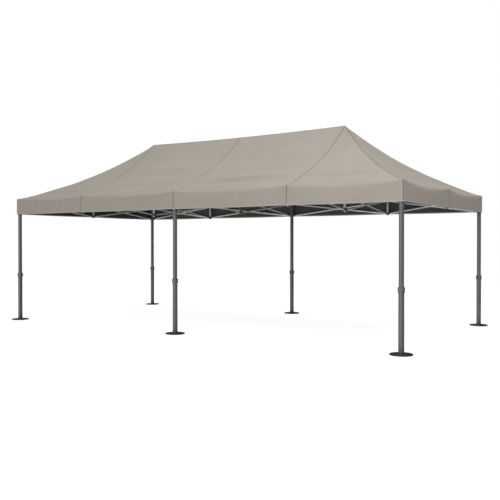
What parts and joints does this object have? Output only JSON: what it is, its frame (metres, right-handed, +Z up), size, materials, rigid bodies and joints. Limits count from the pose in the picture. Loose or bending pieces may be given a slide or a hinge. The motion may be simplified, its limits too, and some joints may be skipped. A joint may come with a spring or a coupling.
{
  "type": "pop-up canopy tent",
  "caption": "Long pop-up canopy tent: hipped cloth roof with two peaks on telescopic round legs with foot plates, braced by scissor trusses.",
  "frame": {"origin": "on the ground at the middle of the plan of the legs", "axes": "+X along the ridge, +Y from the front legs to the back legs, +Z up"},
  "size_m": [8.12, 4.22, 3.51],
  "materials": {
    "canopy_cloth": "matt coated polyester, taupe outside and dark grey inside",
    "leg_paint": "satin grey powder coat",
    "collar_paint": "satin grey powder coat",
    "foot_paint": "dark grey powder coat",
    "truss_aluminium": "satin anodised",
    "black_plastic": "moulded, lightly textured"
  },
  "bodies": {
    "frame": {"front_left_upper_leg": "leg_paint", "back_left_upper_leg": "leg_paint", "front_middle_upper_leg": "leg_paint", "back_middle_upper_leg": "leg_paint", "front_right_upper_leg": "leg_paint", "back_right_upper_leg": "leg_paint", "front_scissor_1_rising_bar": "truss_aluminium", "front_scissor_1_falling_bar": "truss_aluminium", "front_scissor_2_rising_bar": "truss_aluminium", "front_scissor_2_falling_bar": "truss_aluminium", "front_scissor_3_rising_bar": "truss_aluminium", "front_scissor_3_falling_bar": "truss_aluminium", "front_scissor_4_rising_bar": "truss_aluminium", "front_scissor_4_falling_bar": "truss_aluminium", "back_scissor_1_rising_bar": "truss_aluminium", "back_scissor_1_falling_bar": "truss_aluminium", "back_scissor_2_rising_bar": "truss_aluminium", "back_scissor_2_falling_bar": "truss_aluminium", "back_scissor_3_rising_bar": "truss_aluminium", "back_scissor_3_falling_bar": "truss_aluminium", "back_scissor_4_rising_bar": "truss_aluminium", "back_scissor_4_falling_bar": "truss_aluminium", "left_scissor_1_rising_bar": "truss_aluminium", "left_scissor_1_falling_bar": "truss_aluminium", "left_scissor_2_rising_bar": "truss_aluminium", "left_scissor_2_falling_bar": "truss_aluminium", "right_scissor_1_rising_bar": "truss_aluminium", "right_scissor_1_falling_bar": "truss_aluminium", "right_scissor_2_rising_bar": "truss_aluminium", "right_scissor_2_falling_bar": "truss_aluminium", "left_cross_truss": "truss_aluminium", "middle_cross_truss": "truss_aluminium", "right_cross_truss": "truss_aluminium", "left_peak_pole": "truss_aluminium", "right_peak_pole": "truss_aluminium", "canopy_cloth": "canopy_cloth"},
    "front_left_leg": {"front_left_lower_leg": "leg_paint", "front_left_leg_collar": "collar_paint", "front_left_foot_plate": "foot_paint"},
    "front_left_knob": {"front_left_lock_knob": "black_plastic"},
    "back_left_leg": {"back_left_lower_leg": "leg_paint", "back_left_leg_collar": "collar_paint", "back_left_foot_plate": "foot_paint"},
    "back_left_knob": {"back_left_lock_knob": "black_plastic"},
    "front_middle_leg": {"front_middle_lower_leg": "leg_paint", "front_middle_leg_collar": "collar_paint", "front_middle_foot_plate": "foot_paint"},
    "front_middle_knob": {"front_middle_lock_knob": "black_plastic"},
    "back_middle_leg": {"back_middle_lower_leg": "leg_paint", "back_middle_leg_collar": "collar_paint", "back_middle_foot_plate": "foot_paint"},
    "back_middle_knob": {"back_middle_lock_knob": "black_plastic"},
    "front_right_leg": {"front_right_lower_leg": "leg_paint", "front_right_leg_collar": "collar_paint", "front_right_foot_plate": "foot_paint"},
    "front_right_knob": {"front_right_lock_knob": "black_plastic"},
    "back_right_leg": {"back_right_lower_leg": "leg_paint", "back_right_leg_collar": "collar_paint", "back_right_foot_plate": "foot_paint"},
    "back_right_knob": {"back_right_lock_knob": "black_plastic"}
  },
  "joints": [
    {"name": "front_left_height", "type": "slide", "parent": "frame", "child": "front_left_leg", "axis": [0, 0, 1], "range_m": [0, 0.45]},
    {"name": "front_left_lock", "type": "slide", "parent": "front_left_leg", "child": "front_left_knob", "axis": [0, 1, 0], "range_m": [0, 0.006], "stiffness_N_per_m": 800},
    {"name": "back_left_height", "type": "slide", "parent": "frame", "child": "back_left_leg", "axis": [0, 0, 1], "range_m": [0, 0.45]},
    {"name": "back_left_lock", "type": "slide", "parent": "back_left_leg", "child": "back_left_knob", "axis": [0, -1, 0], "range_m": [0, 0.006], "stiffness_N_per_m": 800},
    {"name": "front_middle_height", "type": "slide", "parent": "frame", "child": "front_middle_leg", "axis": [0, 0, 1], "range_m": [0, 0.45]},
    {"name": "front_middle_lock", "type": "slide", "parent": "front_middle_leg", "child": "front_middle_knob", "axis": [0, 1, 0], "range_m": [0, 0.006], "stiffness_N_per_m": 800},
    {"name": "back_middle_height", "type": "slide", "parent": "frame", "child": "back_middle_leg", "axis": [0, 0, 1], "range_m": [0, 0.45]},
    {"name": "back_middle_lock", "type": "slide", "parent": "back_middle_leg", "child": "back_middle_knob", "axis": [0, -1, 0], "range_m": [0, 0.006], "stiffness_N_per_m": 800},
    {"name": "front_right_height", "type": "slide", "parent": "frame", "child": "front_right_leg", "axis": [0, 0, 1], "range_m": [0, 0.45]},
    {"name": "front_right_lock", "type": "slide", "parent": "front_right_leg", "child": "front_right_knob", "axis": [0, 1, 0], "range_m": [0, 0.006], "stiffness_N_per_m": 800},
    {"name": "back_right_height", "type": "slide", "parent": "frame", "child": "back_right_leg", "axis": [0, 0, 1], "range_m": [0, 0.45]},
    {"name": "back_right_lock", "type": "slide", "parent": "back_right_leg", "child": "back_right_knob", "axis": [0, -1, 0], "range_m": [0, 0.006], "stiffness_N_per_m": 800}
  ]
}
